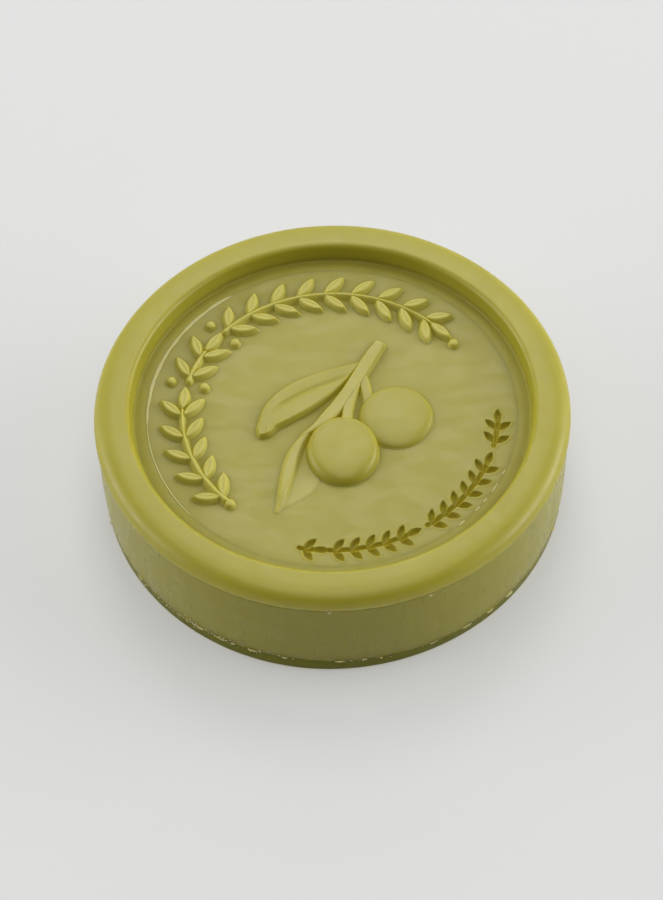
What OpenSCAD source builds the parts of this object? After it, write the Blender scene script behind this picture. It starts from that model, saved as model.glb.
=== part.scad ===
// Round pressed soap puck: a plain side between two flash lines, a raised rim, a dished face
// inside a thin insert line, an olive sprig in relief, a raised leaf garland above it and a row
// of small sunk leaf sprigs below it. The origin is the centre of the flat base, +Z is up, and
// -Y is the front. The ornament lies on the dish's floor and meets its neighbours face to face.

/* [Puck] */
// Diameter across the rim bead
puck_d = 80; // [76:1:90]
// Overall height, from the flat base to the rim's flat top
puck_h = 21.3; // [19:0.1:26]

/* [Rim and dish] */
// Height of the rim bead above the upper flash line
rim_h = 3.3; // [3:0.1:4]
// Width of the rim, from the dish's edge to its outer side
rim_w = 5.9; // [5:0.1:7]
// Rounding of the rim's outer shoulder
shoulder_r = 2.6; // [1:0.1:2.8]
// Depth of the dish's floor below the rim's flat top
dish_depth = 3.5; // [3:0.1:4.5]
// How far the dish's sloping wall runs in from its edge to its foot
dish_slope = 0.9; // [0.5:0.1:1.5]
// Width of the plain margin from the slope's foot to the insert line
margin_w = 2.2; // [1.5:0.1:3]

/* [Side and base] */
// How far the side lies inside the rim bead
side_inset = 0.3; // [0.1:0.05:0.5]
// Height of the lower flash line above the base
base_h = 2.7; // [2.2:0.1:4]
// Rounding of the bottom edge
base_round = 0.5; // [0.2:0.1:2]

/* [Insert line] */
// Width of the thin ridge around the stamped face
line_w = 0.4; // [0.2:0.1:0.8]
// Height of that ridge above the dish's floor
line_h = 0.25; // [0.1:0.05:0.5]

/* [Olive sprig] */
// Radius of both olives
olive_r = 6.4; // [5.5:0.1:6.8]
// Height of the front olive above the floor
front_olive_h = 2.1; // [1.4:0.1:2.5]
// Height of the rear olive above the floor
rear_olive_h = 1.2; // [0.9:0.1:1.3]
// How far each olive's domed top falls from its middle to its edge
olive_crown = 0.7; // [0.3:0.1:0.8]
// Height of the twig and the two stalks
twig_h = 1.3; // [0.6:0.1:1.6]
// Width of the twig at its cut end
twig_w = 2.5; // [1.8:0.1:3]
// Height of the leaf blades
leaf_h = 1.2; // [0.6:0.1:1.4]
// Height of the lower leaf's faint outer half
faint_leaf_h = 0.3; // [0.2:0.05:0.5]

/* [Garland] */
// Height of the raised garland above the floor
garland_h = 1; // [0.5:0.1:1.4]
// Length of a garland leaf
garland_leaf_l = 5.2; // [4:0.1:5.4]
// Width of a garland leaf
garland_leaf_w = 1.9; // [1.2:0.1:2.2]
// Angle between leaf pairs along the garland
garland_pitch = 10.5; // [10:0.1:10.8]

/* [Sunk sprigs] */
// Depth of the sunk sprigs below the floor
sunk_depth = 0.8; // [0.4:0.1:1.2]
// Length of a sunk leaf
sunk_leaf_l = 2.7; // [2:0.1:2.9]
// Width of a sunk leaf
sunk_leaf_w = 1.1; // [0.7:0.1:1.2]
// Angle between leaf pairs along the sunk sprigs
sunk_pitch = 5.6; // [5:0.1:5.8]

/* [Flash] */
// Number of flakes on the lower flash line
lower_flakes = 22; // [8:1:26]
// Number of flakes on the upper flash line
upper_flakes = 5; // [3:1:8]
// How far a flake stands out from the side
flake_out = 0.25; // [0.1:0.05:0.3]

/* [Hidden] */
$fn = 128;

rim_r = puck_d / 2;
side_r = rim_r - side_inset;
upper_flash_z = puck_h - rim_h;
floor_z = puck_h - dish_depth;
panel_t = 2;
seat_z = floor_z - panel_t;
dish_edge_r = rim_r - rim_w;
dish_foot_r = dish_edge_r - dish_slope;
line_r = dish_foot_r - margin_w;
lip_r = dish_edge_r + 1;

// The ornament is drawn for an insert line of this radius and scaled with the real one.
drawn_line_r = 31;
ornament_scale = line_r / drawn_line_r;

front_olive_at = [1.6, -8.5];
rear_olive_at = [10.7, -1.6];
twig_end = [8.6, 14];
twig_foot = [-4.8, -5];
twig_bow = 1.2;
twig_taper = 0.65;
stalk_w = 1.9;
leaf_root = [-3.4, -3.8];
leaf_root_pull = [-7.8, -8.2];
leaf_tip_pull = [-7.4, -14.8];
leaf_tip = [-9.5, -19.9];
steps = 16;

// Each garland sprig: the bearing where it starts and its number of leaf pairs, running clockwise.
garland_sprigs = [[223, 5], [162, 2], [134, 9]];
garland_r = 25.1;
garland_stem_w = 1.2;
garland_lean = 45;
stem_start = 1.5;
stem_end = 3;
berry_r = 0.85;
berry_off = 2.9;
berry_gaps = [165, 137];
berry_ends = [227, 33];

// Each sunk sprig, in the same way, but running anticlockwise.
sunk_sprigs = [[-101, 1], [-91, 5], [-56, 6], [-15, 2]];
sunk_r = 27.8;
sunk_stem_w = 0.7;
sunk_lean = 50;

flake_h = 0.4;

soap = [0.68, 0.65, 0.37];
soap_light = [0.74, 0.71, 0.43];
soap_dark = [0.45, 0.43, 0.20];

function unit(v) = v / norm(v);
function across(v) = [-v.y, v.x];

// A point on the shallow bow from p to q, and the direction of travel there.
function bow_point(p, q, bow, t) = p + (q - p) * t + across(unit(q - p)) * bow * 4 * t * (1 - t);
function bow_way(p, q, bow, t) = unit(q - p + across(unit(q - p)) * bow * 4 * (1 - 2 * t));

// One side of a tapering ribbon along that bow.
function ribbon_side(p, q, bow, w0, w1, side) = [
    for (i = [0 : steps])
        let (t = i / steps)
        bow_point(p, q, bow, t) + across(bow_way(p, q, bow, t)) * side * (w0 + (w1 - w0) * t) / 2
];

// A point on the cubic curve from p to q, and the direction of travel there.
function curve_point(p, p_pull, q_pull, q, t) =
    p * pow(1 - t, 3) + p_pull * 3 * t * pow(1 - t, 2) + q_pull * 3 * t * t * (1 - t) + q * pow(t, 3);
function curve_way(p, p_pull, q_pull, q, t) =
    unit((p_pull - p) * pow(1 - t, 2) + (q_pull - p_pull) * 2 * t * (1 - t) + (q - q_pull) * t * t);

// One side of a leaf blade from p to q, widest where skew puts it.
function blade_side(p, q, bulge, skew) = [
    for (i = [0 : steps])
        let (t = i / steps)
        p + (q - p) * t + across(unit(q - p)) * bulge * sin(180 * pow(t, skew))
];

function turned(points) = [for (i = [len(points) - 1 : -1 : 0]) points[i]];
function inner(points) = [for (i = [1 : len(points) - 2]) points[i]];

module ribbon(p, q, bow, w0, w1)
    polygon(concat(ribbon_side(p, q, bow, w0, w1, 1), turned(ribbon_side(p, q, bow, w0, w1, -1))));

module blade(p, q, left, left_skew, right, right_skew)
    polygon(concat(
        blade_side(p, q, left, left_skew),
        inner(turned(blade_side(p, q, -right, right_skew)))
    ));

// A leaf with two pointed ends, along +X from the origin.
module lens(length, width) {
    arc_r = (length * length + width * width) / (4 * width);
    translate([length / 2, 0])
        intersection() {
            translate([0, arc_r - width / 2])
                circle(arc_r);
            translate([0, width / 2 - arc_r])
                circle(arc_r);
        }
}

// A wedge of the plane between two bearings, large enough to hold the whole ornament.
module wedge(from, to)
    polygon(concat([[0, 0]], [for (i = [0 : 4])
        let (a = from + (to - from) * i / 4)
        2 * drawn_line_r * [cos(a), sin(a)]]));

module ring(mid_r, width)
    difference() {
        circle(mid_r + width / 2);
        circle(mid_r - width / 2);
    }

// A pair of leaves springing from an arc of radius r at a bearing. way is -1 clockwise, 1 anticlockwise.
module leaf_pair(r, bearing, way, lean, length, width)
    for (side = [-1, 1])
        rotate(bearing)
            translate([r, 0])
                rotate(way * 90 + side * lean)
                    lens(length, width);

module end_leaf(r, bearing, way, length, width)
    rotate(bearing)
        translate([r, 0])
            rotate(way * 93)
                lens(length, width);

// Bearings of a sprig's last leaf pair and of its stem's two ends.
function last_bearing(sprig, way, pitch) = sprig[0] + way * (sprig[1] - 1) * pitch;
function stem_from(sprig, way) = sprig[0] - way * stem_start;
function stem_to(sprig, way, pitch) = last_bearing(sprig, way, pitch) + way * stem_end;

module stem(sprig, way, pitch, r, width)
    intersection() {
        ring(r, width);
        wedge(stem_from(sprig, way), stem_to(sprig, way, pitch));
    }

module sprig_leaves(sprig, way, pitch, r, lean, length, width) {
    for (i = [0 : sprig[1] - 1])
        leaf_pair(r, sprig[0] + way * i * pitch, way, lean, length, width);
    end_leaf(r, stem_to(sprig, way, pitch), way, length, width);
}

module raised(height)
    translate([0, 0, floor_z])
        linear_extrude(height)
            scale(ornament_scale)
                children();

module twig_outline()
    ribbon(twig_end, twig_foot, twig_bow, twig_w, twig_w * twig_taper);

module stalk_front_outline()
    ribbon([4.3, 6], [2.3, -3], -0.4, stalk_w, stalk_w);

module olive_outline(at)
    translate(at)
        circle(olive_r);

module olive(at, height) {
    real_r = olive_r * ornament_scale;
    dome_r = (real_r * real_r + olive_crown * olive_crown) / (2 * olive_crown);
    translate([at.x * ornament_scale, at.y * ornament_scale, floor_z])
        intersection() {
            cylinder(r = real_r, h = height);
            translate([0, 0, height - dome_r])
                sphere(dome_r);
        }
}

module base_profile() {
    square([side_r - base_round, base_h]);
    translate([0, base_round])
        square([side_r, base_h - base_round]);
    translate([side_r - base_round, base_round])
        circle(base_round);
}

module base_cap()
    color(soap_dark)
        rotate_extrude()
            intersection() {
                base_profile();
                square([side_r, base_h]);
            }

module side_band()
    color(soap)
        rotate_extrude()
            difference() {
                translate([0, base_h])
                    square([side_r, upper_flash_z - base_h]);
                translate([0, seat_z])
                    square([lip_r, panel_t + rim_h]);
            }

module rim_profile()
    difference() {
        union() {
            translate([line_r + line_w / 2, seat_z])
                square([lip_r - line_r - line_w / 2, panel_t + dish_depth]);
            translate([dish_edge_r, upper_flash_z])
                square([rim_w - shoulder_r, rim_h]);
            translate([dish_edge_r, upper_flash_z])
                square([rim_w, rim_h - shoulder_r]);
            translate([rim_r - shoulder_r, puck_h - shoulder_r])
                circle(shoulder_r);
        }
        polygon([
            [0, floor_z], [dish_foot_r, floor_z], [dish_edge_r, puck_h],
            [dish_edge_r, puck_h + 1], [0, puck_h + 1]
        ]);
    }

module rim_ring()
    color(soap_light)
        rotate_extrude()
            rim_profile();

module sunk_outline()
    for (sprig = sunk_sprigs) {
        stem(sprig, 1, sunk_pitch, sunk_r, sunk_stem_w);
        sprig_leaves(sprig, 1, sunk_pitch, sunk_r, sunk_lean, sunk_leaf_l, sunk_leaf_w);
    }

module face_panel()
    color(soap)
        difference() {
            translate([0, 0, seat_z])
                cylinder(r = line_r - line_w / 2, h = panel_t);
            translate([0, 0, floor_z - sunk_depth])
                linear_extrude(sunk_depth + 1)
                    scale(ornament_scale)
                        sunk_outline();
        }

module insert_line()
    color(soap_light)
        translate([0, 0, seat_z])
            difference() {
                cylinder(r = line_r + line_w / 2, h = panel_t + line_h);
                translate([0, 0, -1])
                    cylinder(r = line_r - line_w / 2, h = panel_t + line_h + 2);
            }

module twig()
    color(soap_light)
        raised(twig_h)
            difference() {
                twig_outline();
                olive_outline(front_olive_at);
            }

module stalk_front()
    color(soap_light)
        raised(twig_h)
            difference() {
                stalk_front_outline();
                twig_outline();
                olive_outline(front_olive_at);
            }

module stalk_rear()
    color(soap_light)
        raised(twig_h - 0.1)
            difference() {
                ribbon([5, 7.8], [6.2, 1.5], 0.1, stalk_w, stalk_w);
                twig_outline();
                stalk_front_outline();
                olive_outline(rear_olive_at);
            }

module olive_front()
    color(soap_light)
        olive(front_olive_at, front_olive_h);

module olive_rear()
    color(soap_light)
        difference() {
            olive(rear_olive_at, rear_olive_h);
            translate([0, 0, floor_z - 1])
                linear_extrude(rear_olive_h + 2)
                    scale(ornament_scale)
                        olive_outline(front_olive_at);
        }

module leaf_upper() {
    tip = [-12.1, -4.8];
    root = [5.8, 10.4];
    vein_w = 0.5;
    color(soap_light)
        difference() {
            raised(leaf_h)
                difference() {
                    blade(tip, root, 5, 0.7, 1.8, 1.12);
                    twig_outline();
                }
            translate([0, 0, leaf_h / 2])
                raised(leaf_h)
                    ribbon([-10.2, -2.2], [3.4, 8], 1.4, vein_w, vein_w);
        }
}

// One side of the lower leaf's full blade, which follows an S-shaped curve and is blunt at its tip.
function full_blade_side(side) = [
    for (i = [0 : steps])
        let (t = i / steps, w = 1.3 - 0.7 * t + 1.4 * pow(sin(180 * t), 0.8))
        curve_point(leaf_root, leaf_root_pull, leaf_tip_pull, leaf_tip, t)
        + across(curve_way(leaf_root, leaf_root_pull, leaf_tip_pull, leaf_tip, t)) * side * w / 2
];

module leaf_lower()
    color(soap_light)
        intersection() {
            union() {
                raised(leaf_h)
                    polygon(concat(full_blade_side(1), turned(full_blade_side(-1))));
                raised(faint_leaf_h)
                    blade(leaf_root, leaf_tip, 4.9, 1.2, 1.6, 0.7);
            }
            raised(leaf_h)
                difference() {
                    circle(drawn_line_r);
                    twig_outline();
                    olive_outline(front_olive_at);
                }
        }

module garland_stems()
    color(soap_light)
        raised(garland_h)
            for (sprig = garland_sprigs)
                stem(sprig, -1, garland_pitch, garland_r, garland_stem_w);

module garland_leaves()
    color(soap_light)
        raised(garland_h)
            for (sprig = garland_sprigs)
                difference() {
                    sprig_leaves(sprig, -1, garland_pitch, garland_r, garland_lean,
                                 garland_leaf_l, garland_leaf_w);
                    stem(sprig, -1, garland_pitch, garland_r, garland_stem_w);
                }

module berry(r, bearing)
    rotate(bearing)
        translate([r, 0])
            circle(berry_r);

module garland_berries()
    color(soap_light)
        raised(garland_h) {
            for (bearing = berry_gaps, off = [-berry_off, berry_off])
                berry(garland_r + off, bearing);
            for (bearing = berry_ends)
                berry(garland_r, bearing);
        }

// Flakes of uneven length spread unevenly around the side at height z.
module flakes(count, z, first)
    for (i = [0 : count - 1])
        rotate(first + 360 * i / count + 4 * sin(97 * i))
            rotate_extrude(angle = 2.4 + 1.6 * sin(151 * i))
                translate([side_r, z])
                    square([flake_out, flake_h]);

module flash_lower()
    color(soap_light)
        flakes(lower_flakes, base_h - flake_h / 2, 3);

module flash_upper()
    color(soap_light)
        flakes(upper_flakes, upper_flash_z - flake_h, 265);

base_cap();
side_band();
rim_ring();
face_panel();
insert_line();
twig();
stalk_front();
stalk_rear();
olive_front();
olive_rear();
leaf_upper();
leaf_lower();
garland_stems();
garland_leaves();
garland_berries();
flash_lower();
flash_upper();
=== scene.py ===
"""A pressed olive-oil soap puck on a pale studio floor.

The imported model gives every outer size. Each zone and relief of the puck is a mesh of its own,
made here in millimetres and scaled to metres as it is stored.
"""

import math
import random

import bmesh
import bpy
import numpy as np
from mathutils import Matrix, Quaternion, Vector


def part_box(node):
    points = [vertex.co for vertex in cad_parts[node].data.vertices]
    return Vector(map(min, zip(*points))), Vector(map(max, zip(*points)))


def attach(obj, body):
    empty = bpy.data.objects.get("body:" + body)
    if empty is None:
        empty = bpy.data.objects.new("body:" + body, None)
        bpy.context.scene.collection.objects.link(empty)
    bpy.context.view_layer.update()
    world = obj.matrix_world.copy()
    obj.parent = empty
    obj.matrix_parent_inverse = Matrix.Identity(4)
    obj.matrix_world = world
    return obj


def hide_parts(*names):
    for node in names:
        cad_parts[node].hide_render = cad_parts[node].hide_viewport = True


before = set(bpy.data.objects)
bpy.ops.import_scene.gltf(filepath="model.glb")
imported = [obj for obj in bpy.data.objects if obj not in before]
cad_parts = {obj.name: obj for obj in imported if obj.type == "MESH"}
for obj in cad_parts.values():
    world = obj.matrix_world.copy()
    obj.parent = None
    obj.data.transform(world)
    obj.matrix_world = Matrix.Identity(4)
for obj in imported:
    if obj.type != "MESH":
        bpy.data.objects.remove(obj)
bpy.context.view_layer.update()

MM = 0.001
TAU = math.tau


# ---------------------------------------------------------------- sizes from the frame, in mm

# Half the width of the raised line round the stamped face.
LINE_HALF_W = 0.2


def node_box(node):
    low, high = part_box(node)
    return [v / MM for v in low], [v / MM for v in high]


def node_size(node):
    low, high = node_box(node)
    return [b - a for a, b in zip(low, high)]


RIM_R = node_box("rim_ring")[1][0]
TOP_Z = node_box("rim_ring")[1][2]
SIDE_R = node_box("side_band")[1][0]
UPPER_Z = node_box("side_band")[1][2]
LOWER_Z = node_box("side_band")[0][2]
SEAT_Z = node_box("face_panel")[0][2]
FLOOR_Z = node_box("face_panel")[1][2]
FACE_R = node_box("face_panel")[1][0]
LINE_R = node_box("insert_line")[1][0] - LINE_HALF_W

# The ornament's own design, as in the CAD source.
DRAWN_LINE_R = 31.0
ORNAMENT = LINE_R / DRAWN_LINE_R
TWIG_END = (8.6, 14.0)
TWIG_FOOT = (-4.8, -5.0)
TWIG_BOW = 1.35
TWIG_W = 2.5
STALK_W = 1.9
GARLAND_SPRIGS = [(223, 5), (162, 2), (134, 9)]
GARLAND_R = 25.1
GARLAND_PITCH = 10.5
GARLAND_LEAN = 45
GARLAND_STEM_W = 1.2
GARLAND_LEAF = (5.2, 1.9)
SUNK_SPRIGS = [(-101, 1), (-91, 5), (-56, 6), (-15, 2)]
SUNK_R = 27.8
SUNK_PITCH = 5.6
SUNK_LEAN = 50
SUNK_STEM_W = 0.7
SUNK_LEAF = (2.7, 1.1)
SUNK_DEPTH = 0.8
STEM_START = 1.5
STEM_END = 3.0
BERRY_R = 0.85
BERRY_OFF = 2.9
BERRY_GAPS = (165, 137)
BERRY_ENDS = (227, 33)

# Bearings of the slivers on the upper flash line.
UPPER_FLAKES = (20, 75, 130, 198, 214, 268, 292)

# Bearing and length of the slivers on the lower flash line, how many crumbs are scattered along
# it, and the middle and spread of the bearings where they lie.
LOWER_FLAKES = (
    (15, 1.6), (38, 0.9), (62, 1.3), (88, 2.0), (110, 1.5), (133, 0.8), (152, 1.2), (171, 1.8),
    (196, 0.9), (214, 1.3), (231, 1.0), (235, 1.5), (240.5, 2.2), (244, 0.8), (249, 1.7), (257, 1.0),
    (270, 1.5), (276, 0.8), (280, 0.5), (293, 1.3), (302.5, 1.8), (309.5, 1.5), (316, 1.6), (338, 1.0),
)
CRUMBS = 90
CRUMBLY = (234, 9)

# How reliefs stand on the face: their foot flares out by FOOT and dips DIP under it, and their
# closed mesh goes ROOT down into it.
FOOT = 0.22
DIP = 0.05
ROOT = 0.6

# How far the side's two edges draw in from its middle.
BARREL = 0.2

# The radius of the pocket in the side's top that the rim and the face fill.
POCKET_R = 35.1

# The most that neighbouring points of a turned profile stand apart, and how many steps go round.
PROFILE_STEP = 0.4
ROUND_STEPS = 720


# ---------------------------------------------------------------- small maths

def smooth(x):
    x = np.clip(x, 0, 1)
    return x * x * (3 - 2 * x)


def unit(v):
    return v / np.linalg.norm(v)


def wander(bearing, waves, seed):
    """A smooth closed irregular curve round the puck, from about -1 to 1."""
    rng = random.Random(seed)
    total = 0 * bearing
    for wave in waves:
        total = total + np.sin(wave * bearing + rng.uniform(0, TAU)) * rng.uniform(0.6, 1)
    return total / len(waves) ** 0.5 / 0.8


def bow(p, q, sag, steps=48, skew=1.0):
    """Points along a shallow bow from p to q, deepest nearer p where skew is under 1."""
    p, q = np.array(p), np.array(q)
    t = np.linspace(0, 1, steps)[:, None]
    along = unit(q - p)
    across = np.array([-along[1], along[0]])
    return p + (q - p) * t + across * sag * np.sin(math.pi * t ** skew)


def bezier(p, p_pull, q_pull, q, steps=40):
    """Points along a cubic curve from p to q."""
    t = np.linspace(0, 1, steps)[:, None]
    p, p_pull, q_pull, q = (np.array(v, float) for v in (p, p_pull, q_pull, q))
    return p * (1 - t) ** 3 + p_pull * 3 * t * (1 - t) ** 2 + q_pull * 3 * t * t * (1 - t) + q * t ** 3


def blade_outline(p, q, left, left_skew, right, right_skew, steps=40):
    """A leaf blade's outline from p to q and back, widest where the skews put it."""
    p, q = np.array(p), np.array(q)
    t = np.linspace(0, 1, steps)[:, None]
    along = unit(q - p)
    across = np.array([-along[1], along[0]])
    one = p + (q - p) * t + across * left * np.sin(math.pi * t ** left_skew)
    two = p + (q - p) * t - across * right * np.sin(math.pi * t ** right_skew)
    return np.concatenate([one, two[-2:0:-1]])


def segment_distance(x, y, points, closed=False):
    """Distance to a polyline, and how far along it the nearest place is, from 0 to 1."""
    ends = np.roll(points, -1, axis=0) if closed else points[1:]
    starts = points if closed else points[:-1]
    best = np.full(x.shape, 1e9)
    where = np.zeros(x.shape)
    for i, (a, b) in enumerate(zip(starts, ends)):
        dx, dy = b - a
        t = np.clip(((x - a[0]) * dx + (y - a[1]) * dy) / (dx * dx + dy * dy), 0, 1)
        d = np.hypot(x - a[0] - t * dx, y - a[1] - t * dy)
        where = np.where(d < best, (i + t) / len(starts), where)
        best = np.minimum(best, d)
    return best, where


def side_of(x, y, points):
    """Signed distance to a polyline, positive on its left."""
    d, _ = segment_distance(x, y, points)
    a, b = points[:-1], points[1:]
    middle = (a + b) / 2
    nearest = np.argmin((x[..., None] - middle[:, 0]) ** 2 + (y[..., None] - middle[:, 1]) ** 2, axis=-1)
    a, b = a[nearest], b[nearest]
    turn = (b[..., 0] - a[..., 0]) * (y - a[..., 1]) - (b[..., 1] - a[..., 1]) * (x - a[..., 0])
    return d * np.sign(turn)


def inside_outline(x, y, points):
    """Signed distance to a closed outline, positive inside."""
    d, _ = segment_distance(x, y, points, closed=True)
    odd = np.zeros(x.shape, bool)
    for a, b in zip(points, np.roll(points, -1, axis=0)):
        crosses = (a[1] > y) != (b[1] > y)
        slope = (b[0] - a[0]) / (b[1] - a[1] + 1e-12)
        odd ^= crosses & (x < a[0] + (y - a[1]) * slope)
    return np.where(odd, d, -d)


def inside_lens(x, y, length, width):
    """Signed distance inside a leaf with two pointed ends, along +X from the origin."""
    arc = (length * length + width * width) / (4 * width)
    return arc - np.hypot(x - length / 2, np.abs(y) + arc - width / 2)


def inside_ribbon(x, y, points, width):
    """Signed distance inside a ribbon along a polyline. width is a function of 0 to 1 along it."""
    d, where = segment_distance(x, y, points)
    return width(where) / 2 - d


def blended(a, b, soft):
    """The union of two signed distances, filleted where they meet."""
    near = np.clip(1 - np.abs(a - b) / soft, 0, 1)
    return np.maximum(a, b) + soft * near * near / 4


def even(width):
    """A ribbon's width that is the same all along it."""
    return lambda where: width


def rise(d, wall, sharp=0.75):
    """From 0 at a relief's flared foot to 1 at its shoulder, wall inside its outline."""
    return smooth((d + FOOT) / (wall + FOOT)) ** sharp


# ---------------------------------------------------------------- mesh building, in mm

def store(name, vertices, faces, sharp=60):
    """A closed mesh object with its normals outwards, smooth but for edges over sharp degrees."""
    mesh = bpy.data.meshes.new(name)
    mesh.from_pydata([tuple(v) for v in np.asarray(vertices, float) * MM], [], faces)
    work = bmesh.new()
    work.from_mesh(mesh)
    bmesh.ops.recalc_face_normals(work, faces=work.faces)
    work.to_mesh(mesh)
    work.free()
    mesh.polygons.foreach_set("use_smooth", [True] * len(mesh.polygons))
    mesh.set_sharp_from_angle(angle=math.radians(sharp))
    piece = bpy.data.objects.new(name, mesh)
    bpy.context.collection.objects.link(piece)
    return piece


def finish_piece(piece, material, slot, *nodes):
    piece.data.materials.append(material)
    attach(piece, "root")
    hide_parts(*nodes)


def joined(parts):
    """One vertex list and face list from several."""
    vertices, faces, start = [], [], 0
    for some_vertices, some_faces in parts:
        vertices.append(np.asarray(some_vertices, float))
        faces += [tuple(i + start for i in face) for face in some_faces]
        start += len(some_vertices)
    return np.concatenate(vertices), faces


def rounded(corners, turn=0.12):
    """A profile of (r, z) points from corners (r, z, radius), each rounded by an arc."""
    out = []
    count = len(corners)
    for i, (r, z, radius) in enumerate(corners):
        here = np.array([r, z])
        back = unit(np.array(corners[i - 1][:2]) - here)
        on = unit(np.array(corners[(i + 1) % count][:2]) - here)
        half = math.acos(np.clip(back @ on, -1, 1)) / 2
        if radius == 0 or half > 1.55:
            out.append(here)
            continue
        reach = radius / math.tan(half)
        centre = here + unit(back + on) * radius / math.sin(half)
        start, end = here + back * reach - centre, here + on * reach - centre
        a0, a1 = math.atan2(start[1], start[0]), math.atan2(end[1], end[0])
        sweep = (a1 - a0 + math.pi) % TAU - math.pi
        steps = max(2, int(abs(sweep) / turn))
        for k in range(steps + 1):
            a = a0 + sweep * k / steps
            out.append(centre + radius * np.array([math.cos(a), math.sin(a)]))
    return np.array(out)


def spaced(profile, step, closed):
    """The profile with extra points, so that none are more than step apart but on a flat disc."""
    out = []
    ends = np.roll(profile, -1, axis=0)
    for i, (a, b) in enumerate(zip(profile, ends)):
        out.append(a)
        if not closed and i == len(profile) - 1:
            break
        disc = min(a[0], b[0]) == 0
        extra = 0 if disc else int(np.linalg.norm(b - a) / step)
        out += [a + (b - a) * k / (extra + 1) for k in range(1, extra + 1)]
    return np.array(out)


def lathe(profile, segments, warp=None, centre=(0, 0)):
    """Vertices and faces of a turned solid. A profile that starts and ends on the axis is closed
    by it, and any other is a ring. warp(r, z, bearing) returns a changed r and z."""
    solid = profile[0][0] == 0 and profile[-1][0] == 0
    body = profile[1:-1] if solid else profile
    bearing = np.arange(segments) * TAU / segments
    r = np.repeat(body[:, :1], segments, axis=1)
    z = np.repeat(body[:, 1:], segments, axis=1)
    if warp:
        r, z = warp(r, z, bearing[None, :])
    x, y = centre[0] + r * np.cos(bearing), centre[1] + r * np.sin(bearing)
    vertices = np.stack([x, y, z], axis=-1).reshape(-1, 3)
    rows = len(body)
    faces = []
    for i in range(rows - 1 if solid else rows):
        j = (i + 1) % rows
        for k in range(segments):
            m = (k + 1) % segments
            faces.append((i * segments + k, i * segments + m, j * segments + m, j * segments + k))
    if solid:
        poles = [(centre[0], centre[1], profile[0][1]), (centre[0], centre[1], profile[-1][1])]
        first, last = len(vertices), len(vertices) + 1
        vertices = np.concatenate([vertices, poles])
        end = (rows - 1) * segments
        for k in range(segments):
            m = (k + 1) % segments
            faces.append((first, m, k))
            faces.append((last, end + k, end + m))
    return vertices, faces


def relief(height, low, high, cell, to_puck=None):
    """A closed raised shape over the floor: its top is height(x, y) above it, where that is above
    the dipped foot. to_puck turns its own x, y into the puck's."""
    xs = np.arange(low[0], high[0] + cell, cell)
    ys = np.arange(low[1], high[1] + cell, cell)
    x, y = np.meshgrid(xs, ys, indexing="ij")
    z = height(x, y)
    above = z > -DIP + 1e-4
    cells = above[:-1, :-1] | above[1:, :-1] | above[:-1, 1:] | above[1:, 1:]
    used = np.zeros(z.shape, bool)
    for i, j in ((0, 0), (1, 0), (0, 1), (1, 1)):
        used[i:i + cells.shape[0], j:j + cells.shape[1]] |= cells
    number = np.full(z.shape, -1)
    number[used] = np.arange(used.sum())
    flat = np.stack([x[used], y[used]], axis=-1)
    if to_puck:
        flat = to_puck(flat)
    flat = flat * ORNAMENT
    top = np.column_stack([flat, FLOOR_Z + np.maximum(z[used], -DIP)])
    under = np.column_stack([flat, np.full(len(flat), FLOOR_Z - ROOT)])
    count = len(flat)
    faces, edges = [], {}
    for i, j in zip(*np.nonzero(cells)):
        corners = ((i, j), (i + 1, j), (i + 1, j + 1), (i, j + 1))
        a, b, c, d = (int(number[corner]) for corner in corners)
        faces.append((a, b, c, d))
        faces.append((d + count, c + count, b + count, a + count))
        for edge in ((a, b), (b, c), (c, d), (d, a)):
            if edge[::-1] in edges:
                del edges[edge[::-1]]
            else:
                edges[edge] = True
    for a, b in edges:
        faces.append((b, a, a + count, b + count))
    return np.concatenate([top, under]), faces


# ---------------------------------------------------------------- materials

class Nodes:
    """A short way to write a node tree."""

    def __init__(self, material):
        material.use_nodes = True
        self.tree = material.node_tree
        self.tree.nodes.clear()

    def add(self, kind, **values):
        node = self.tree.nodes.new(kind)
        for name, value in values.items():
            setattr(node, name, value)
        return node

    def join(self, source, target):
        self.tree.links.new(source, target)

    def noise(self, where, scale, detail=3, rough=0.5, stretch=(1, 1, 1)):
        mapping = self.add("ShaderNodeMapping")
        mapping.inputs["Scale"].default_value = stretch
        self.join(where, mapping.inputs["Vector"])
        node = self.add("ShaderNodeTexNoise")
        node.inputs["Scale"].default_value = scale
        node.inputs["Detail"].default_value = detail
        node.inputs["Roughness"].default_value = rough
        self.join(mapping.outputs[0], node.inputs["Vector"])
        return node.outputs["Fac"]

    def remap(self, value, low, high, to_low=0.0, to_high=1.0):
        node = self.add("ShaderNodeMapRange", interpolation_type="SMOOTHSTEP")
        for name, number in (("From Min", low), ("From Max", high), ("To Min", to_low), ("To Max", to_high)):
            node.inputs[name].default_value = number
        self.join(value, node.inputs["Value"])
        return node.outputs[0]

    def mix(self, factor, a, b, blend="MIX"):
        node = self.add("ShaderNodeMix", data_type="RGBA", blend_type=blend)
        for socket, value in ((node.inputs[0], factor), (node.inputs[6], a), (node.inputs[7], b)):
            if hasattr(value, "is_output"):
                self.join(value, socket)
            elif isinstance(value, tuple):
                socket.default_value = (*value, 1)
            else:
                socket.default_value = value
        return node.outputs[2]

    def hemmed_in(self, reach, clear, full):
        """1 where surfaces within reach, in mm, close a place in as far as full, 0 beyond clear."""
        node = self.add("ShaderNodeAmbientOcclusion", samples=AO_SAMPLES)
        node.inputs["Distance"].default_value = reach * MM
        return self.remap(node.outputs["AO"], clear, full)

    def math(self, operation, a, b):
        node = self.add("ShaderNodeMath", operation=operation)
        for socket, value in ((node.inputs[0], a), (node.inputs[1], b)):
            if hasattr(value, "is_output"):
                self.join(value, socket)
            else:
                socket.default_value = value
        return node.outputs[0]


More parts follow.
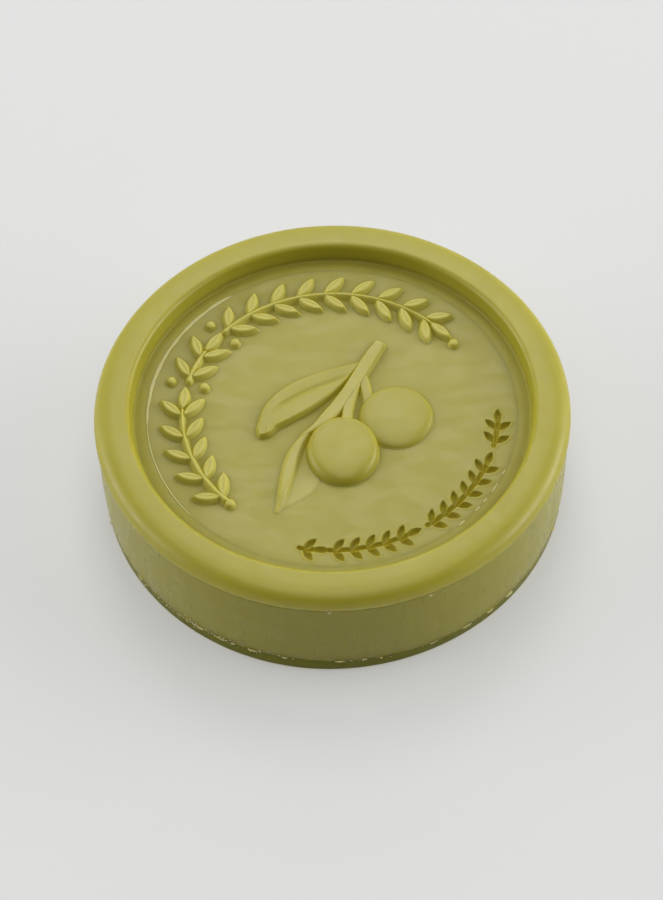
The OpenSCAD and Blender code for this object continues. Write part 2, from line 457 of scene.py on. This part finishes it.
# Colours of the zones, the painted deep colour of shaded creases and the painted highlight on the raised
# line's crest.
SOAP_RIM = (0.388, 0.346, 0.024)
SOAP_FACE = (0.356, 0.317, 0.024)
# Painted shade: the side is a darker copy of the soap, its own slightly greener hue darkened for the shade on
# the side.
SOAP_SIDE_SHADED = (0.296, 0.266, 0.014)
# Painted light: the reliefs, the twig and the garland are lighter copies of the soap, for the light their
# raised tops catch.
SOAP_LIT_RELIEF_AND_SPECK = (0.378, 0.337, 0.030)
SOAP_TWIG_LIT = (0.425, 0.383, 0.065)
SOAP_GARLAND_LIT = (0.475, 0.428, 0.070)
SOAP_PAINTED_CREASE_SHADE = (0.460, 0.375, 0.004)
# Painted shade: the base zone under the lower flash line is a dark copy of the soap for the shade of its
# undercut.
SOAP_BASE_SHADED = (0.232, 0.229, 0.018)
FLASH = (0.740, 0.680, 0.380)
# Painted highlight on the raised line's crest.
RIDGE_HIGHLIGHT = (0.560, 0.510, 0.200)

# How many directions are tried, how near a surface has to be to hem another in closely or widely,
# in mm, and the painted shade: the colours that the zones are multiplied by where it does so widely.
AO_SAMPLES = 12
CLOSE_REACH = 1.6
WIDE_REACH = 6.0
WIDE_SHADE = (0.68, 0.67, 0.50)
SIDE_SHADE = (0.55, 0.55, 0.42)
GARLAND_SHADE = (0.95, 0.95, 0.85)
RELIEF_SHADE = (0.98, 0.98, 0.92)
NO_SHADE = (1.0, 1.0, 1.0)


def soap(name, colour, streak=(1, 1, 1), streaky=0.3, roughness=0.4, scatter=1.0, gloss=0.5, shade=WIDE_SHADE,
         close_reach=CLOSE_REACH, corner_roughness=0.35, highlight_above=None):
    """Pressed soap: mottled, streaked and waxy, with painted shade where other surfaces close it in, deepest
    as a painted crease colour.
    Above the height given, in mm, a painted highlight turns it pale."""
    material = bpy.data.materials.new(name)
    nodes = Nodes(material)
    place = nodes.add("ShaderNodeTexCoord").outputs["Object"]

    patches = nodes.remap(nodes.noise(place, scale=70, detail=2), 0.35, 0.65)
    streaks = nodes.remap(nodes.noise(place, scale=160, detail=4, rough=0.6, stretch=streak), 0.35, 0.7)
    tint = nodes.mix(nodes.math("MULTIPLY", patches, 0.3), colour, tuple(c * 0.9 for c in colour))
    tint = nodes.mix(nodes.math("MULTIPLY", streaks, streaky), tint, tuple(min(1, c * 1.09) for c in colour))

    height = nodes.add("ShaderNodeSeparateXYZ")
    nodes.join(place, height.inputs[0])
    # Painted shade: the colour is multiplied by the zone's shade where surfaces close it in widely, less so
    # higher above the floor.
    low_down = nodes.remap(height.outputs["Z"], (FLOOR_Z + 0.3) * MM, (FLOOR_Z + 1.3) * MM, 1.0, 0.2)
    hemmed = nodes.math("MULTIPLY", nodes.hemmed_in(WIDE_REACH, clear=0.95, full=0.6), low_down)
    tint = nodes.mix(1.0, tint, nodes.mix(hemmed, NO_SHADE, shade), "MULTIPLY")
    # Painted shade in creases: mixed towards a deep saturated colour where surfaces close it in closely.
    tint = nodes.mix(nodes.hemmed_in(close_reach, clear=0.8, full=0.3), tint, SOAP_PAINTED_CREASE_SHADE)
    # Painted highlight: above the given height the colour turns pale, on the raised line's crest.
    if highlight_above:
        ridge_highlight = nodes.remap(height.outputs["Z"], highlight_above * MM, (highlight_above + 0.02) * MM)
        tint = nodes.mix(ridge_highlight, tint, RIDGE_HIGHLIGHT)

    # Pale specks of dust, in the reliefs' lit tone.
    specks = nodes.remap(nodes.noise(place, scale=1300, detail=1), 0.74, 0.78)
    tint = nodes.mix(nodes.math("MULTIPLY", specks, 0.35), tint, SOAP_LIT_RELIEF_AND_SPECK)

    fine = nodes.noise(place, scale=2600, detail=3, rough=0.6)
    broad = nodes.noise(place, scale=420, detail=3, rough=0.5, stretch=streak)
    bump = nodes.add("ShaderNodeBump")
    bump.inputs["Strength"].default_value = 0.3
    bump.inputs["Distance"].default_value = 0.06 * MM
    nodes.join(nodes.math("ADD", nodes.math("MULTIPLY", fine, 0.35), broad), bump.inputs["Height"])

    shader = nodes.add("ShaderNodeBsdfPrincipled")
    nodes.join(tint, shader.inputs["Base Color"])
    rough = nodes.remap(broad, 0.3, 0.7, roughness - 0.05, roughness + 0.06)
    rough = nodes.math("ADD", rough, nodes.math("MULTIPLY", hemmed, corner_roughness))
    nodes.join(rough, shader.inputs["Roughness"])
    nodes.join(bump.outputs[0], shader.inputs["Normal"])
    shader.inputs["IOR"].default_value = 1.45
    shader.inputs["Specular IOR Level"].default_value = gloss
    shader.inputs["Subsurface Weight"].default_value = scatter
    shader.inputs["Subsurface Radius"].default_value = (1.0, 0.85, 0.16)
    shader.inputs["Subsurface Scale"].default_value = 0.8 * MM
    output = nodes.add("ShaderNodeOutputMaterial")
    nodes.join(shader.outputs[0], output.inputs["Surface"])
    return material


def floor_material():
    """Plain pale studio sheet that glows a little, as if lit from beneath."""
    material = bpy.data.materials.new("studio_paper")
    nodes = Nodes(material)
    place = nodes.add("ShaderNodeTexCoord").outputs["Object"]
    shader = nodes.add("ShaderNodeBsdfPrincipled")
    tint = nodes.mix(nodes.noise(place, scale=3, detail=2), (0.450, 0.451, 0.447), (0.460, 0.460, 0.457))
    nodes.join(tint, shader.inputs["Base Color"])
    shader.inputs["Emission Color"].default_value = (1.0, 1.0, 0.99, 1)
    shader.inputs["Emission Strength"].default_value = 0.265
    shader.inputs["Roughness"].default_value = 0.9
    shader.inputs["Specular IOR Level"].default_value = 0.1
    output = nodes.add("ShaderNodeOutputMaterial")
    nodes.join(shader.outputs[0], output.inputs["Surface"])
    return material


# ---------------------------------------------------------------- the puck's turned zones

def make_rim(material):
    """The rim bead, the dish's sloping wall and the plain margin round the face."""
    inner = LINE_R + LINE_HALF_W
    profile = rounded([
        (inner, SEAT_Z, 0),
        (POCKET_R, SEAT_Z, 0),
        (POCKET_R, UPPER_Z, 0),
        (RIM_R - 0.4, UPPER_Z, 0),
        (RIM_R - 0.34, UPPER_Z + 0.06, 0.05),
        (RIM_R, UPPER_Z + 0.85, 1.4),
        (RIM_R - 0.95, TOP_Z - 0.4, 2.5),
        (37.0, TOP_Z - 0.02, 8),
        (33.9, TOP_Z, 0.9),
        (33.3, FLOOR_Z, 0.35),
        (inner, FLOOR_Z, 0),
    ])
    profile = spaced(profile, PROFILE_STEP, closed=True)

    def warp(r, z, bearing):
        shown = smooth((z - UPPER_Z + 0.5) / 1.0) * smooth((r - inner) / 2)
        z = z - 0.05 * shown * np.clip(1 + wander(bearing, (2, 3, 5, 8), 11), 0, 2) / 2
        edge = np.exp(-((z - UPPER_Z) / 0.25) ** 2) * smooth((r - POCKET_R) / 3)
        r = r - 0.06 * edge * (1 + wander(bearing, (7, 13, 29, 61, 97), 12)) / 2
        return r, z

    piece = store("rim_ring_soap", *lathe(profile, ROUND_STEPS, warp))
    finish_piece(piece, material, "soap_rim", "rim_ring")


def make_side(material):
    """The plain side between the two flash lines, with faint upright drag marks."""
    profile = rounded([
        (0, LOWER_Z, 0),
        (SIDE_R, LOWER_Z, 0.15),
        (SIDE_R, UPPER_Z - 0.28, 0.1),
        (39.0, UPPER_Z - 0.2, 0),
        (38.8, UPPER_Z, 0),
        (POCKET_R, UPPER_Z, 0),
        (POCKET_R, SEAT_Z, 0),
        (0, SEAT_Z, 0),
    ])
    profile = spaced(profile, PROFILE_STEP, closed=False)
    middle = (LOWER_Z + UPPER_Z) / 2

    def warp(r, z, bearing):
        wall = smooth((r - 38) / 1.5)
        off = np.clip((z - middle) / (UPPER_Z - middle), -1, 1)
        drag = np.clip(1 + wander(bearing, (37, 53, 71, 113, 151), 21), 0, 2)
        dents = np.clip(1 + wander(bearing + 0.04 * z, (5, 9, 14), 22) * np.sin(0.55 * z), 0, 2)
        torn = np.exp(-((z - LOWER_Z) / 0.3) ** 2) * np.clip(wander(bearing, (17, 31, 59, 97, 131), 23), 0, 1)
        worn = BARREL * off ** 2 + 0.012 * drag + 0.04 * (1 - off ** 2) * dents
        return r - wall * worn, z + 0.2 * wall * torn

    piece = store("side_band_soap", *lathe(profile, ROUND_STEPS, warp))
    finish_piece(piece, material, "soap_side", "side_band")


def make_base(material):
    """The bottom zone, undercut below the lower flash line and fuller at the front, on a flat base."""
    profile = rounded([
        (0, 0, 0),
        (SIDE_R - 0.35, 0, 0.8),
        (SIDE_R - 0.42, LOWER_Z - 0.5, 0.3),
        (SIDE_R - 0.14, LOWER_Z - 0.1, 0.08),
        (SIDE_R - 0.24, LOWER_Z, 0),
        (0, LOWER_Z, 0),
    ])
    profile = spaced(profile, PROFILE_STEP, closed=False)

    def warp(r, z, bearing):
        lip = np.exp(-((z - LOWER_Z + 0.1) / 0.3) ** 2) * smooth((r - 38) / 1.2)
        ragged = wander(bearing, (11, 23, 41, 67, 103, 139), 31)
        fuller = 0.42 * np.exp(-((bearing - 0.715 * TAU) / 0.62) ** 2)
        fuller = fuller * smooth((r - 36) / 3) * smooth((LOWER_Z - z) / 1.5)
        return r - 0.14 * lip * np.clip(0.6 - ragged, 0, 1.4) + fuller, z

    piece = store("base_cap_soap", *lathe(profile, ROUND_STEPS, warp))
    finish_piece(piece, material, "soap_base", "base_cap")


# ---------------------------------------------------------------- the stamped face

def sprig_marks(sprigs, way, pitch, lean, leaf):
    """(bearing, turn, length, width) of each leaf, and each stem's two bearings, in degrees."""
    leaves, stems = [], []
    for start, pairs in sprigs:
        for i in range(pairs):
            for side in (-1, 1):
                leaves.append((start + way * i * pitch, way * 90 + side * lean, *leaf))
        end = start + way * ((pairs - 1) * pitch + STEM_END)
        leaves.append((end, way * 93, *leaf))
        stems.append((start - way * STEM_START, end))
    return leaves, stems


def leaf_frame(bearing, turn, radius):
    """Where a leaf springs from, and its direction, as (x, y, angle)."""
    a = math.radians(bearing)
    return radius * math.cos(a), radius * math.sin(a), math.radians(bearing + turn)


def arc_points(radius, a0, a1, steps=24):
    """Points along an arc about the puck's axis, between two bearings in degrees."""
    a = np.radians(np.linspace(a0, a1, steps))
    return radius * np.stack([np.cos(a), np.sin(a)], axis=-1)


def sunk_distance(x, y):
    """Signed distance inside the sunk leaf sprigs."""
    leaves, stems = sprig_marks(SUNK_SPRIGS, 1, SUNK_PITCH, SUNK_LEAN, SUNK_LEAF)
    best = np.full(x.shape, -9.0)
    for bearing, turn, length, width in leaves:
        x0, y0, angle = leaf_frame(bearing, turn, SUNK_R)
        u = (x - x0) * math.cos(angle) + (y - y0) * math.sin(angle)
        v = (y - y0) * math.cos(angle) - (x - x0) * math.sin(angle)
        best = np.maximum(best, inside_lens(u, v, length, width))
    for a0, a1 in stems:
        best = np.maximum(best, inside_ribbon(x, y, arc_points(SUNK_R, a0, a1), even(SUNK_STEM_W)))
    return best


def make_face(material):
    """The stamped face, with the sunk sprigs pressed into it and a finer mesh where they are."""
    sprigs_begin, sprigs_end = -108, 4
    fine = np.arange(sprigs_begin, sprigs_end, 0.2)
    coarse = np.arange(sprigs_end, sprigs_begin + 360, 1.0)
    bearing = np.radians(np.concatenate([fine, coarse]))
    radii = np.concatenate([np.arange(1, 24.5, 1.0), np.arange(24.6, 30.4, 0.1), [FACE_R]])
    r, a = np.meshgrid(radii, bearing, indexing="ij")
    x, y = r * np.cos(a), r * np.sin(a)
    d = sunk_distance(x / ORNAMENT, y / ORNAMENT)
    pressed = SUNK_DEPTH * smooth((d + 0.12) / 0.45) ** 0.8
    lip = 0.05 * np.exp(-((d + 0.25) / 0.2) ** 2)
    sway = 0.03 * np.sin(0.23 * x + 0.11 * y) * np.sin(0.17 * y - 0.05 * x) * (1 - (r / FACE_R) ** 2)
    z = FLOOR_Z - pressed + lip + sway
    rows, count = r.shape
    vertices = np.stack([x, y, z], axis=-1).reshape(-1, 3)
    under = np.column_stack([x[-1], y[-1], np.full(count, SEAT_Z)])
    centre = [(0, 0, FLOOR_Z), (0, 0, SEAT_Z)]
    faces = []
    for i in range(rows):
        for k in range(count):
            m = (k + 1) % count
            faces.append((i * count + k, i * count + m, (i + 1) * count + m, (i + 1) * count + k))
    top_centre, under_centre = (rows + 1) * count, (rows + 1) * count + 1
    for k in range(count):
        m = (k + 1) % count
        faces.append((top_centre, m, k))
        faces.append((under_centre, rows * count + k, rows * count + m))
    piece = store("face_panel_soap", np.concatenate([vertices, under, centre]), faces)
    finish_piece(piece, material, "soap_face", "face_panel")


def make_insert_line(material):
    """The thin uneven ridge round the stamped face, proud along its left, with a painted highlight where it
    stands highest.
    """
    count = 900
    bearing = np.arange(count) * TAU / count
    degrees = np.degrees(bearing)
    broad = smooth((34 - np.abs(degrees - 153)) / 12)
    thread = smooth((22 - np.abs(degrees - 203)) / 8)
    flecks = smooth((18 - np.abs(degrees - 322)) / 8) * smooth(wander(bearing, (43, 67, 91), 43) * 1.5)
    uneven = np.clip(1 + wander(bearing, (5, 9, 17, 33, 57), 41), 0, 2) / 2
    height = 0.003 + 0.006 * uneven + 0.07 * broad + 0.05 * thread + 0.06 * flecks
    width = 0.09 + 0.03 * uneven + broad * (0.14 + 0.12 * uneven) + 0.03 * flecks
    middle = LINE_R + 0.05 * wander(bearing, (1, 2, 3), 42)
    middle = middle + 0.12 * broad * wander(bearing, (13, 29, 47), 44)
    rows = []
    for s in (-0.4, -0.32, -0.25, -0.18, -0.12, -0.06, 0.0, 0.06, 0.12, 0.18, 0.25, 0.32, 0.4):
        r = LINE_R + s + (middle - LINE_R) * (1 - abs(s) / 0.4)
        ridge = height * np.exp(-(s / width) ** 4)
        z = FLOOR_Z - 0.004 + ridge - 0.04 * (abs(s) > 0.38)
        rows.append(np.stack([r * np.cos(bearing), r * np.sin(bearing), z], axis=-1))
    for s in (0.18, -0.18):
        r = LINE_R + s + 0 * bearing
        rows.append(np.stack([r * np.cos(bearing), r * np.sin(bearing), 0 * r + SEAT_Z], axis=-1))
    faces = []
    for i in range(len(rows)):
        j = (i + 1) % len(rows)
        for k in range(count):
            m = (k + 1) % count
            faces.append((i * count + k, i * count + m, j * count + m, j * count + k))
    piece = store("insert_line_soap", np.concatenate(rows), faces)
    finish_piece(piece, material, "soap_flash", "insert_line")


# ---------------------------------------------------------------- the olive sprig

def make_olive(name, node, material, stretch, crown):
    """A domed olive on its CAD solid's place, stretched a little and rounder at its front. crown is
    how much of its height is dome."""
    low, high = node_box(node)
    centre = np.array([(low[0] + high[0]) / 2, (low[1] + high[1]) / 2, FLOOR_Z])
    radius = (high[0] - low[0]) / 2
    height = high[2] - FLOOR_Z
    turn = np.linspace(0, math.pi / 2, 40)[:-1]
    r = radius * np.sin(turn) ** 0.5
    dome = np.column_stack([r, np.full(len(r), height)])
    brim = 0.12
    foot = [(radius, brim), (radius + 0.08, 0.02), (radius + FOOT, -DIP), (radius + FOOT, -ROOT), (0, -ROOT)]

    def warp(r, z, bearing):
        off = np.clip(r / radius, 0, 1)
        edge = (1 - off ** (16 + 9 * np.sin(bearing))) ** 0.6
        crowned = height * ((1 - crown) * edge + crown * (1 - off ** 2))
        return r, np.where(z > 0.5 * height, np.maximum(crowned, brim), z)

    vertices, faces = lathe(np.concatenate([dome, foot]), 160, warp)
    piece = store(name, vertices * (*stretch, 1) + centre, faces)
    finish_piece(piece, material, "soap_relief", node)


def twig_width(where):
    """Narrower at the cut end, broadest beside the front olive, and thin where the leaf begins."""
    cut_end = 0.4 * np.exp(-(where / 0.09) ** 2)
    beside = 0.2 * np.exp(-((where - 0.68) / 0.15) ** 2)
    return TWIG_W - cut_end + beside - 1.3 * smooth((where - 0.72) / 0.28)


def make_twig(material):
    """The twig, cut square at its upper end and lower towards the leaf."""
    path = bow(TWIG_END, TWIG_FOOT, TWIG_BOW, skew=1.6)
    height = node_size("twig")[2]
    along = unit(np.array(TWIG_FOOT) - np.array(TWIG_END))

    def top(x, y):
        d = inside_ribbon(x, y, path, twig_width)
        cut = (x - TWIG_END[0]) * along[0] + (y - TWIG_END[1]) * along[1]
        d = np.minimum(d, cut + 0.2)
        _, where = segment_distance(x, y, path)
        fall = 1 - 0.25 * where
        return height * fall * rise(d, 0.46) * (1 + DIP) - DIP

    piece = store("twig_soap", *relief(top, (-7, -7), (11, 16), 0.11))
    finish_piece(piece, material, "soap_relief", "twig")


def make_stalk(name, node, material, p, q, sag, fall):
    """An olive's stalk, bowed from p to q and lower by the share fall at its end."""
    path = bow(p, q, sag, 16)
    height = node_size(node)[2]

    def top(x, y):
        d = inside_ribbon(x, y, path, even(STALK_W))
        _, where = segment_distance(x, y, path)
        return (height - 0.2) * (1 - fall * where) * rise(d, 0.36) * (1 + DIP) - DIP

    low = (min(p[0], q[0]) - 2, min(p[1], q[1]) - 2)
    high = (max(p[0], q[0]) + 2, max(p[1], q[1]) + 2)
    piece = store(name, *relief(top, low, high, 0.1))
    finish_piece(piece, material, "soap_relief", node)


def make_upper_leaf(material):
    """A leaf with a soft crease along its midrib, thick at its lower edge."""
    outline = blade_outline((-12.1, -4.8), (5.8, 10.4), 5.0, 0.7, 1.8, 1.12)
    rib = bow((-10.6, -2.2), (3.6, 7.2), 1.65, 24, skew=0.65)
    height = node_size("leaf_upper")[2]

    def top(x, y):
        blunt_tip = 1.0 - np.hypot(x + 11.3, y + 3.7)
        d = blended(inside_outline(x, y, outline), blunt_tip, 1.6)
        m = side_of(x, y, rib)
        _, along = segment_distance(x, y, rib)
        creased = smooth((along - 0.05) / 0.25) * smooth((1 - along) / 0.2)
        upper = 0.92 - creased * (0.2 - 0.14 * smooth(m / 2.5))
        lower = 0.92 + 0.08 * smooth(-m / 2.2)
        level = upper + (lower - upper) * smooth(0.5 - m / 0.7)
        crease = 0.13 * creased * np.exp(-((m - 0.25) / 0.35) ** 2)
        return 0.88 * height * (level - crease) * rise(d, 0.4) * (1 + DIP) - DIP

    piece = store("leaf_upper_soap", *relief(top, (-14, -7), (6, 12), 0.11))
    finish_piece(piece, material, "soap_relief", "leaf_upper")


def make_lower_leaf(material):
    """A leaf with a full, S-shaped left blade and a faint, nearly flat right one."""
    root, tip = (-3.4, -3.8), (-9.5, -19.9)
    blade = bezier(root, (-7.8, -8.2), (-7.4, -14.8), tip)
    whole = blade_outline(root, tip, 4.9, 1.2, 1.6, 0.7)
    height = node_size("leaf_lower")[2]

    def blade_width(where):
        return 1.1 - 0.2 * where + 1.5 * np.sin(math.pi * where ** 0.95) ** 1.2

    def top(x, y):
        _, where = segment_distance(x, y, blade)
        fading = 1 - 0.65 * smooth((where - 0.78) / 0.22)
        full = 0.8 * height * fading * rise(inside_ribbon(x, y, blade, blade_width), 0.6)
        faint = 0.1 * smooth((inside_outline(x, y, whole) + FOOT) / 0.9)
        return np.maximum(full, faint) * (1 + DIP) - DIP

    piece = store("leaf_lower_soap", *relief(top, (-12, -22), (0, -3), 0.11))
    finish_piece(piece, material, "soap_relief", "leaf_lower")


# ---------------------------------------------------------------- the garland

def make_garland(material):
    """The raised garland: its grooved leaves, its tapering stems and its domed berries."""
    leaves, stems = sprig_marks(GARLAND_SPRIGS, -1, GARLAND_PITCH, GARLAND_LEAN, GARLAND_LEAF)
    height = node_size("garland_leaves")[2]
    rng = random.Random(51)
    parts = []
    for bearing, turn, length, width in leaves:
        x0, y0, angle = leaf_frame(bearing, turn, GARLAND_R)
        c, s = math.cos(angle), math.sin(angle)
        level = height * rng.uniform(0.94, 1.0)

        def top(u, v):
            d = inside_lens(u, v, length, width)
            along = smooth((u - 0.6) / 0.8) * smooth((length - 0.9 - u) / 0.8)
            groove = 0.09 * np.exp(-(v / 0.16) ** 2) * along
            return level * (rise(d, 0.38) * (1 + DIP) - groove * rise(d, 0.3)) - DIP

        def to_puck(flat):
            u, v = flat[:, 0], flat[:, 1]
            return np.stack([x0 + u * c - v * s, y0 + u * s + v * c], axis=-1)

        parts.append(relief(top, (-0.4, -1.4), (length + 0.4, 1.4), 0.12, to_puck))
    piece = store("garland_leaves_soap", *joined(parts))
    finish_piece(piece, material, "soap_relief", "garland_leaves")

    parts = []
    for a0, a1 in stems:
        path = arc_points(GARLAND_R, a0, a1, 40)

        def top(x, y):
            d = inside_ribbon(x, y, path, lambda where: GARLAND_STEM_W * (1 - 0.2 * where))
            return height * rise(d, 0.5) * (1 + DIP) - DIP

        low, high = path.min(axis=0) - 1, path.max(axis=0) + 1
        parts.append(relief(top, low, high, 0.11))
    piece = store("garland_stems_soap", *joined(parts))
    finish_piece(piece, material, "soap_relief", "garland_stems")

    parts = []
    berries = [(GARLAND_R + off, gap) for gap in BERRY_GAPS for off in (-BERRY_OFF, BERRY_OFF)]
    berries += [(GARLAND_R, end) for end in BERRY_ENDS]
    for radius, bearing in berries:
        a = math.radians(bearing)

        def top(x, y):
            off = np.hypot(x, y) / BERRY_R
            dome = np.sqrt(np.clip(1 - off ** 2.4, 0, 1))
            return height * (0.4 * rise(BERRY_R * (1 - off), 0.25) + 0.6 * dome) * (1 + DIP) - DIP

        def to_puck(flat):
            return flat + np.array([radius * math.cos(a), radius * math.sin(a)])

        parts.append(relief(top, (-1.3, -1.3), (1.3, 1.3), 0.09, to_puck))
    piece = store("garland_berries_soap", *joined(parts))
    finish_piece(piece, material, "soap_relief", "garland_berries")


# ---------------------------------------------------------------- dried flash

def flake(rng, bearing, length, z, height, out, lean):
    """A ragged sliver standing off the side along a flash line."""
    stations = 9
    vertices = []
    for i in range(stations):
        t = i / (stations - 1)
        a = math.radians(bearing) + (t - 0.5) * length / SIDE_R
        full = (0.12 + math.sin(math.pi * t) ** 0.6) * rng.uniform(0.65, 1.0)
        stand = out * full
        tall = height * full
        rise_by = lean * full
        wave = 0.08 * rng.uniform(-1, 1)
        for r, h in (
            (SIDE_R - 0.15, z - tall / 2),
            (SIDE_R - 0.05 + stand * 0.8, z - tall / 2 + rise_by + wave),
            (SIDE_R - 0.05 + stand, z + tall / 2 + rise_by + wave),
            (SIDE_R - 0.15, z + tall / 2),
        ):
            vertices.append((r * math.cos(a), r * math.sin(a), h))
    faces = []
    for i in range(stations - 1):
        for k in range(4):
            m = (k + 1) % 4
            faces.append((i * 4 + k, i * 4 + m, (i + 1) * 4 + m, (i + 1) * 4 + k))
    faces.append((3, 2, 1, 0))
    end = (stations - 1) * 4
    faces.append((end, end + 1, end + 2, end + 3))
    return vertices, faces


def crumb(rng, bearing, z, size):
    """A small uneven lump on the side."""
    work = bmesh.new()
    bmesh.ops.create_icosphere(work, subdivisions=2, radius=1.0)
    a = math.radians(bearing)
    r = SIDE_R - 0.02
    centre = Vector((r * math.cos(a), r * math.sin(a), z))
    out = Vector((math.cos(a), math.sin(a), 0))
    along = Vector((-math.sin(a), math.cos(a), 0))
    stretch = rng.uniform(0.8, 2.2)
    vertices = []
    for vertex in work.verts:
        p = vertex.co * rng.uniform(0.75, 1.0) * size
        vertices.append(centre + out * p.x * 0.7 + along * p.y * stretch + Vector((0, 0, p.z)))
    faces = [tuple(v.index for v in face.verts) for face in work.faces]
    work.free()
    return [tuple(v) for v in vertices], faces


def make_flash(material):
    """Slivers and crumbs along both flash lines, thickest at the front left of the lower one."""
    rng = random.Random(61)
    parts = []
    for bearing, length in LOWER_FLAKES:
        parts.append(flake(rng, bearing, length, LOWER_Z + rng.uniform(-0.1, 0.25),
                           rng.uniform(0.05, 0.10), rng.uniform(0.12, 0.24), rng.uniform(-0.05, 0.12)))
        for _ in range(rng.randrange(2, 6)):
            parts.append(crumb(rng, bearing + rng.uniform(-3, 3), LOWER_Z + rng.uniform(-0.4, 0.5),
                               rng.uniform(0.05, 0.11)))
    for _ in range(CRUMBS):
        height = LOWER_Z + 0.4 + rng.gauss(0, 0.5)
        parts.append(crumb(rng, rng.gauss(*CRUMBLY), max(0.5, height), rng.uniform(0.04, 0.12)))
    piece = store("flash_lower_soap", *joined(parts), sharp=30)
    finish_piece(piece, material, "soap_flash", "flash_lower")

    parts = []
    for bearing in UPPER_FLAKES:
        parts.append(flake(rng, bearing, rng.uniform(0.5, 1.3), UPPER_Z - rng.uniform(0.3, 0.45),
                           rng.uniform(0.12, 0.2), rng.uniform(0.2, 0.28), -0.05))
        parts.append(crumb(rng, bearing + rng.uniform(-14, 14), UPPER_Z - rng.uniform(1, 9),
                           rng.uniform(0.06, 0.1)))
    piece = store("flash_upper_soap", *joined(parts), sharp=30)
    finish_piece(piece, material, "soap_flash", "flash_upper")


# ---------------------------------------------------------------- studio

def add_light(name, azimuth, elevation, distance, size, power):
    """A soft box that faces the puck's middle. Azimuth 0 is behind it and 90 on its right."""
    aim = Vector((0, 0, 0.01))
    a, e = math.radians(azimuth), math.radians(elevation)
    data = bpy.data.lights.new(name, "AREA")
    data.shape = "RECTANGLE"
    data.size, data.size_y = size
    data.energy = power
    light = bpy.data.objects.new(name, data)
    light.location = Vector((math.sin(a) * math.cos(e), math.cos(a) * math.cos(e), math.sin(e))) * distance
    light.rotation_mode = "QUATERNION"
    light.rotation_quaternion = (aim - light.location).to_track_quat("-Z", "Y")
    bpy.context.collection.objects.link(light)


def make_floor():
    """A wide sheet, a hair below the puck so that the two don't share a plane."""
    mesh = bpy.data.meshes.new("studio_floor")
    half = 3.0
    under = -0.00003
    corners = [(-half, -half, under), (half, -half, under), (half, half, under), (-half, half, under)]
    mesh.from_pydata(corners, [], [(0, 1, 2, 3)])
    floor = bpy.data.objects.new("studio_floor", mesh)
    mesh.materials.append(floor_material())
    bpy.context.collection.objects.link(floor)


def make_studio():
    """The floor, the soft boxes and a faint even light from all round."""
    make_floor()
    for name, azimuth, elevation, distance, size, power in (
        ("overhead", 0, 90, 1.2, (0.8, 0.8), 3.9),
        ("front", 180, 62, 1.2, (0.6, 0.6), 1.25),
        ("back", 0, 54, 1.2, (0.5, 0.5), 3.5),
        ("back_low", 0, 22, 2.2, (2.4, 1.0), 9.0),
        ("back_left", -42, 32, 1.2, (0.8, 0.6), 1.1),
        ("left", -80, 30, 1.2, (0.9, 0.7), 2.3),
        ("left_low", -88, 13, 1.3, (1.2, 0.45), 6.9),
        ("back_right", 42, 32, 1.2, (0.8, 0.6), 1.5),
        ("right", 80, 30, 1.2, (0.9, 0.7), 3.3),
        ("right_low", 88, 13, 1.3, (1.2, 0.45), 9.3),
    ):
        add_light(name, azimuth, elevation, distance, size, power)

    world = bpy.data.worlds.new("studio")
    world.use_nodes = True
    world.node_tree.nodes["Background"].inputs["Color"].default_value = (1, 1, 1, 1)
    world.node_tree.nodes["Background"].inputs["Strength"].default_value = 0.05
    bpy.context.scene.world = world
    bpy.context.scene.view_settings.view_transform = "Standard"


def make_camera():
    """The photograph's view: from the front and well above, with a slight roll."""
    distance = 0.4505
    elevation = math.radians(54.45)
    aim = Vector((-0.0003, 0.0052, 0))
    roll = math.radians(-1.71)
    data = bpy.data.cameras.new("view")
    data.sensor_fit = "AUTO"
    data.sensor_width = 36
    data.lens = 104
    camera = bpy.data.objects.new("view", data)
    camera.location = (0, -distance * math.cos(elevation), distance * math.sin(elevation))
    camera.rotation_mode = "QUATERNION"
    look = (aim - camera.location).to_track_quat("-Z", "Y")
    camera.rotation_quaternion = look @ Quaternion((0, 0, 1), roll)
    bpy.context.collection.objects.link(camera)
    bpy.context.scene.camera = camera


# ---------------------------------------------------------------- build

make_camera()
make_studio()

rim_soap = soap("soap_rim", SOAP_RIM, gloss=0.58)
side_soap = soap("soap_side", SOAP_SIDE_SHADED, streak=(1, 1, 0.3), streaky=0.25, roughness=0.3, gloss=0.42,
                 shade=SIDE_SHADE, corner_roughness=0)
base_soap = soap("soap_base", SOAP_BASE_SHADED, gloss=0.25, shade=SIDE_SHADE, corner_roughness=0)
face_soap = soap("soap_face", SOAP_FACE, streak=(0.6, 1.2, 1), streaky=0.15, gloss=0.6)
relief_soap = soap("soap_relief", SOAP_LIT_RELIEF_AND_SPECK, scatter=0.9, gloss=0.6, shade=RELIEF_SHADE, close_reach=0.8)
twig_soap = soap("soap_twig", SOAP_TWIG_LIT, scatter=0.9, gloss=0.6, shade=RELIEF_SHADE, close_reach=0.8)
garland_soap = soap("soap_garland", SOAP_GARLAND_LIT, scatter=0.5, gloss=0.6, shade=GARLAND_SHADE, close_reach=0.7)
flash_soap = soap("soap_flash", FLASH, roughness=0.6, scatter=0.3, gloss=0.3, shade=NO_SHADE, close_reach=0.1)
line_soap = soap("soap_line", SOAP_FACE, highlight_above=FLOOR_Z + 0.015)

make_rim(rim_soap)
make_side(side_soap)
make_base(base_soap)
make_face(face_soap)
make_insert_line(line_soap)
make_olive("olive_front_soap", "olive_front", relief_soap, (0.94, 1.05), 0.18)
make_olive("olive_rear_soap", "olive_rear", relief_soap, (0.97, 0.99), 0.3)
make_twig(twig_soap)
make_stalk("stalk_front_soap", "stalk_front", twig_soap, (4.3, 6.0), (2.3, -3.0), -0.4, 0.0)
make_stalk("stalk_rear_soap", "stalk_rear", twig_soap, (5.0, 7.8), (6.2, 1.5), 0.1, 0.5)
make_upper_leaf(relief_soap)
make_lower_leaf(twig_soap)
make_garland(garland_soap)
make_flash(flash_soap)
